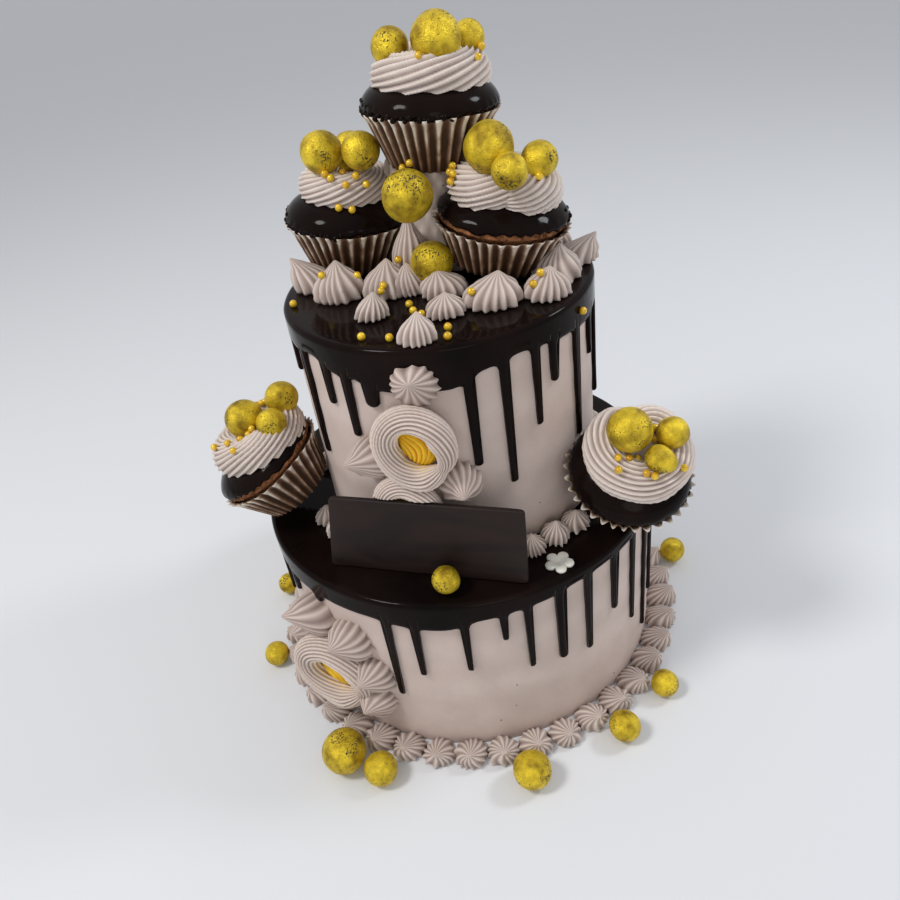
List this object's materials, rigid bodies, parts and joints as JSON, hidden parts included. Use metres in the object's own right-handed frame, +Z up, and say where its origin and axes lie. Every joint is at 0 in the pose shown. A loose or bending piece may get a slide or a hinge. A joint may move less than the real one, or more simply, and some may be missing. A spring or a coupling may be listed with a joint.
{
  "type": "tiered celebration cake",
  "caption": "Tiered round cake in buttercream with dripping dark glaze, iced cupcakes, piped stars and rosettes, gold dusted balls and a blank plaque.",
  "frame": {"origin": "centre of the flat underside of the lower tier, on the tier's axis", "axes": "+Z up, -Y towards the front with the plaque, +X to the right seen from the front"},
  "size_m": [0.2879, 0.2818, 0.3532],
  "materials": {
    "buttercream": "satin",
    "chocolate_glaze": "gloss",
    "chocolate_sponge": "rough",
    "paper_case": "matte",
    "gold_dusted_chocolate": "satin",
    "plaque_chocolate": "matte",
    "sugar_paste": "matte"
  },
  "bodies": {
    "root": {"centre_ball_1": "gold_dusted_chocolate", "centre_ball_2": "gold_dusted_chocolate", "chocolate_plaque": "plaque_chocolate", "cupcake_1_ball_1": "gold_dusted_chocolate", "cupcake_1_ball_2": "gold_dusted_chocolate", "cupcake_1_ball_3": "gold_dusted_chocolate", "cupcake_1_case": "paper_case", "cupcake_1_cream": "buttercream", "cupcake_1_glaze": "chocolate_glaze", "cupcake_1_sponge": "chocolate_sponge", "cupcake_2_ball_1": "gold_dusted_chocolate", "cupcake_2_ball_2": "gold_dusted_chocolate", "cupcake_2_ball_3": "gold_dusted_chocolate", "cupcake_2_case": "paper_case", "cupcake_2_cream": "buttercream", "cupcake_2_glaze": "chocolate_glaze", "cupcake_2_sponge": "chocolate_sponge", "cupcake_3_ball_1": "gold_dusted_chocolate", "cupcake_3_ball_2": "gold_dusted_chocolate", "cupcake_3_ball_3": "gold_dusted_chocolate", "cupcake_3_case": "paper_case", "cupcake_3_cream": "buttercream", "cupcake_3_glaze": "chocolate_glaze", "cupcake_3_sponge": "chocolate_sponge", "cupcake_4_ball_1": "gold_dusted_chocolate", "cupcake_4_ball_2": "gold_dusted_chocolate", "cupcake_4_ball_3": "gold_dusted_chocolate", "cupcake_4_case": "paper_case", "cupcake_4_cream": "buttercream", "cupcake_4_glaze": "chocolate_glaze", "cupcake_4_sponge": "chocolate_sponge", "cupcake_5_ball_1": "gold_dusted_chocolate", "cupcake_5_ball_2": "gold_dusted_chocolate", "cupcake_5_ball_3": "gold_dusted_chocolate", "cupcake_5_case": "paper_case", "cupcake_5_cream": "buttercream", "cupcake_5_glaze": "chocolate_glaze", "cupcake_5_sponge": "chocolate_sponge", "foot_ball_1": "gold_dusted_chocolate", "foot_ball_2": "gold_dusted_chocolate", "foot_ball_3": "gold_dusted_chocolate", "foot_ball_4": "gold_dusted_chocolate", "foot_ball_5": "gold_dusted_chocolate", "foot_ball_6": "gold_dusted_chocolate", "foot_ball_7": "gold_dusted_chocolate", "foot_ball_8": "gold_dusted_chocolate", "foot_border": "buttercream", "lower_glaze": "chocolate_glaze", "lower_tier": "buttercream", "side_rosettes": "buttercream", "step_ball": "gold_dusted_chocolate", "step_border_1": "buttercream", "step_border_2": "buttercream", "sugar_flower": "sugar_paste", "top_cream": "buttercream", "top_star_1": "buttercream", "top_star_2": "buttercream", "upper_glaze": "chocolate_glaze", "upper_tier": "buttercream", "wall_rosettes": "buttercream"}
  },
  "joints": []
}
